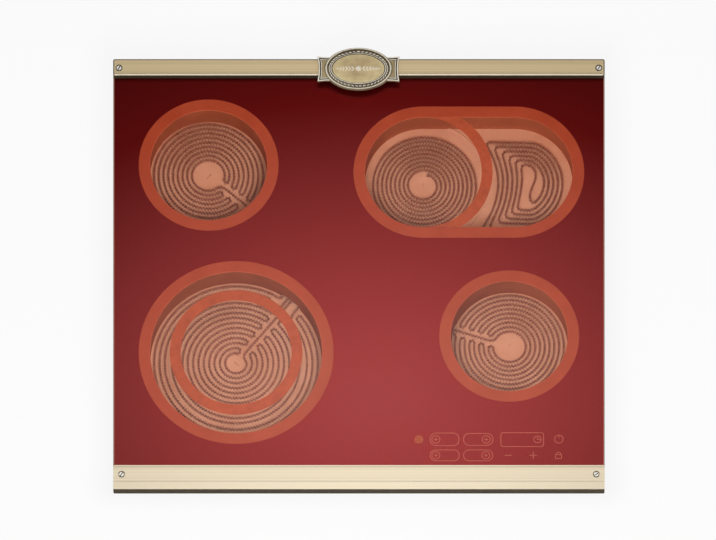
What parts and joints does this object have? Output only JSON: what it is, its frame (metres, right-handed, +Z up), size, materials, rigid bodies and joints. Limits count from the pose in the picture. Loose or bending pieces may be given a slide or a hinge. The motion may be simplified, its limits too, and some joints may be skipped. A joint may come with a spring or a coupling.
{
  "type": "ceramic glass cooktop",
  "caption": "Built-in ceramic glass cooktop with red glass, radiant heating zones, touch controls, aged brass trim bars, an oval medallion and worktop clamps.",
  "frame": {"origin": "middle of the glass in the worktop's plane, where the seal's underside rests on the worktop", "axes": "+Z up out of the worktop, +X to the user's right, +Y away from the user towards the rear bar"},
  "size_m": [0.59, 0.563, 0.0755],
  "materials": {
    "ceramic_glass": "polished dark red ceramic glass",
    "foam_seal": "closed-cell foam",
    "silicone": "cured silicone",
    "rear_brass": "brushed, aged",
    "front_brass": "brushed, aged",
    "medallion_brass": "cast, aged",
    "screw_brass": "satin",
    "zinc_steel": "zinc plated",
    "galvanised_steel": "galvanised sheet",
    "dish_steel": "aluminised sheet",
    "spring_steel": "spring steel",
    "clamp_steel": "zinc plated",
    "aluminium_sheet": "rolled",
    "insulation_base": "pressed fibre insulation",
    "insulation_ring": "pressed fibre insulation",
    "heating_ribbon": "oxidised resistance alloy",
    "terminal_ceramic": "unglazed",
    "black_plastic": "moulded",
    "white_plastic": "moulded",
    "circuit_board": "solder mask",
    "pad_foam": "conductive foam",
    "display_block": "moulded",
    "board_parts": "moulded",
    "wire_sleeve": "silicone sleeve",
    "flat_cable": "flat cable"
  },
  "bodies": {
    "cooktop": {"glass_panel": "ceramic_glass", "worktop_seal": "foam_seal", "glass_adhesive": "silicone", "rear_trim": "rear_brass", "front_trim": "front_brass", "trim_screws": "screw_brass", "trim_nuts": "zinc_steel", "medallion": "medallion_brass", "medallion_studs": "zinc_steel", "chassis_frame": "galvanised_steel", "bottom_plate": "galvanised_steel", "plate_screws": "zinc_steel", "rear_left_dish": "dish_steel", "rear_left_base": "insulation_base", "rear_left_ring": "insulation_ring", "rear_left_ribbon": "heating_ribbon", "rear_left_terminal": "terminal_ceramic", "front_right_dish": "dish_steel", "front_right_base": "insulation_base", "front_right_ring": "insulation_ring", "front_right_ribbon": "heating_ribbon", "front_right_terminal": "terminal_ceramic", "front_left_dish": "dish_steel", "front_left_base": "insulation_base", "front_left_ring": "insulation_ring", "front_left_divider": "insulation_base", "front_left_inner_ribbon": "heating_ribbon", "front_left_outer_ribbon": "heating_ribbon", "front_left_terminal": "terminal_ceramic", "rear_right_dish": "dish_steel", "rear_right_base": "insulation_base", "rear_right_ring": "insulation_ring", "rear_right_divider": "insulation_base", "rear_right_round_ribbon": "heating_ribbon", "rear_right_side_ribbon": "heating_ribbon", "rear_right_terminal": "terminal_ceramic", "heater_springs": "spring_steel", "heat_shield": "aluminium_sheet", "control_carrier": "black_plastic", "touch_board": "circuit_board", "touch_pads": "pad_foam", "display_module": "display_block", "power_housing": "black_plastic", "power_board": "circuit_board", "power_parts": "board_parts", "wiring_looms": "wire_sleeve", "control_cable": "flat_cable", "terminal_box": "black_plastic", "terminal_block": "white_plastic", "terminal_screws": "screw_brass"},
    "left_front_screw": {"left_front_clamp_screw": "zinc_steel"},
    "left_front_dog": {"left_front_clamp_dog": "clamp_steel"},
    "left_rear_screw": {"left_rear_clamp_screw": "zinc_steel"},
    "left_rear_dog": {"left_rear_clamp_dog": "clamp_steel"},
    "right_front_screw": {"right_front_clamp_screw": "zinc_steel"},
    "right_front_dog": {"right_front_clamp_dog": "clamp_steel"},
    "right_rear_screw": {"right_rear_clamp_screw": "zinc_steel"},
    "right_rear_dog": {"right_rear_clamp_dog": "clamp_steel"},
    "terminal_cover": {"terminal_cover": "black_plastic"}
  },
  "joints": [
    {"name": "left_front_clamp_swing", "type": "hinge", "parent": "cooktop", "child": "left_front_screw", "pos_m": [-0.268, -0.02726, -0.045], "axis": [0, 0, 1], "range_deg": [0, 90]},
    {"name": "left_front_clamp_draw", "type": "slide", "parent": "left_front_screw", "child": "left_front_dog", "axis": [0, 0, 1], "range_m": [0, 0.01]},
    {"name": "left_rear_clamp_swing", "type": "hinge", "parent": "cooktop", "child": "left_rear_screw", "pos_m": [-0.268, 0.04348, -0.045], "axis": [0, 0, 1], "range_deg": [0, 90]},
    {"name": "left_rear_clamp_draw", "type": "slide", "parent": "left_rear_screw", "child": "left_rear_dog", "axis": [0, 0, 1], "range_m": [0, 0.01]},
    {"name": "right_front_clamp_swing", "type": "hinge", "parent": "cooktop", "child": "right_front_screw", "pos_m": [0.268, -0.02726, -0.045], "axis": [0, 0, -1], "range_deg": [0, 90]},
    {"name": "right_front_clamp_draw", "type": "slide", "parent": "right_front_screw", "child": "right_front_dog", "axis": [0, 0, 1], "range_m": [0, 0.01]},
    {"name": "right_rear_clamp_swing", "type": "hinge", "parent": "cooktop", "child": "right_rear_screw", "pos_m": [0.268, 0.04348, -0.045], "axis": [0, 0, -1], "range_deg": [0, 90]},
    {"name": "right_rear_clamp_draw", "type": "slide", "parent": "right_rear_screw", "child": "right_rear_dog", "axis": [0, 0, 1], "range_m": [0, 0.01]},
    {"name": "terminal_cover_hinge", "type": "hinge", "parent": "cooktop", "child": "terminal_cover", "pos_m": [-0.0578, 0.2061, -0.05], "axis": [-1, 0, 0], "range_deg": [0, 90]}
  ]
}
